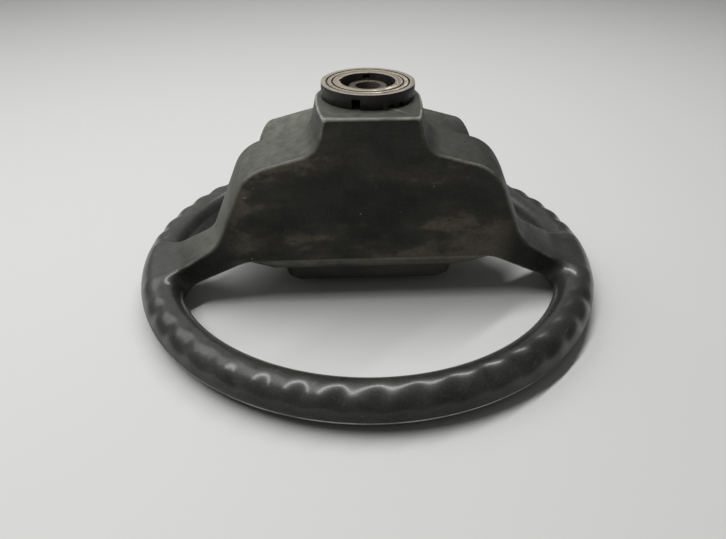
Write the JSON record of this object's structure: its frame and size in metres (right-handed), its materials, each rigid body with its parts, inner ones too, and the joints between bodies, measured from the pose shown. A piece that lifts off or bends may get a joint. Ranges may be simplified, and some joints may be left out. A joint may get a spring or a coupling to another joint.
{
  "type": "car steering wheel",
  "caption": "Car steering wheel lying face down: finger-grip rim, deep moulded housing, splined hub, horn contact rings and a sprung horn pad.",
  "frame": {"origin": "on the wheel's axis, at the surface that the rim rests on", "axes": "+Z along the wheel's axis from the driver's side towards the column; -Y towards the side of the two spokes"},
  "size_m": [0.38, 0.38, 0.1655],
  "materials": {
    "moulded_cover": "self-skinned polyurethane foam, charcoal, worn and dusty",
    "pad_plastic": "grained moulded plastic",
    "frame_steel": "plain pressed steel",
    "hub_steel": "turned steel, dull",
    "carrier_plastic": "moulded phenolic plastic, dirty",
    "ring_brass": "worn contact brass",
    "contact_brass": "stamped brass",
    "zinc_plate": "zinc plated sheet steel",
    "fastener_steel": "zinc plated steel",
    "spring_steel": "drawn spring wire",
    "nylon": "natural nylon",
    "fibre": "vulcanised fibre"
  },
  "bodies": {
    "wheel": {"grip_cover": "moulded_cover", "rim_ring": "frame_steel", "spoke_plate": "frame_steel", "crash_can": "frame_steel", "hub_boss": "hub_steel", "contact_carrier": "carrier_plastic", "outer_slip_ring": "ring_brass", "inner_slip_ring": "ring_brass", "fixed_contact_left": "contact_brass", "fixed_contact_right": "contact_brass", "terminal_tab": "contact_brass", "horn_base": "zinc_plate", "carrier_screws": "fastener_steel", "base_screws": "fastener_steel", "base_sleeves": "fastener_steel", "horn_spring_1": "spring_steel", "horn_spring_2": "spring_steel", "horn_spring_3": "spring_steel", "horn_spring_4": "spring_steel", "guide_bush_1": "nylon", "guide_bush_2": "nylon", "guide_bush_3": "nylon", "guide_bush_4": "nylon", "insulator_left": "fibre", "insulator_right": "fibre"},
    "horn": {"horn_pad": "pad_plastic", "pad_plate": "zinc_plate", "pad_screws": "fastener_steel", "guide_pin_1": "fastener_steel", "guide_pin_2": "fastener_steel", "guide_pin_3": "fastener_steel", "guide_pin_4": "fastener_steel", "moving_contact_left": "contact_brass", "moving_contact_right": "contact_brass"}
  },
  "joints": [
    {"name": "horn_press", "type": "slide", "parent": "wheel", "child": "horn", "axis": [0, 0, 1], "range_m": [0, 0.003], "stiffness_N_per_m": 4000, "springref_m": -0.004, "deforming": ["horn_spring_1", "horn_spring_2", "horn_spring_3", "horn_spring_4"]}
  ]
}
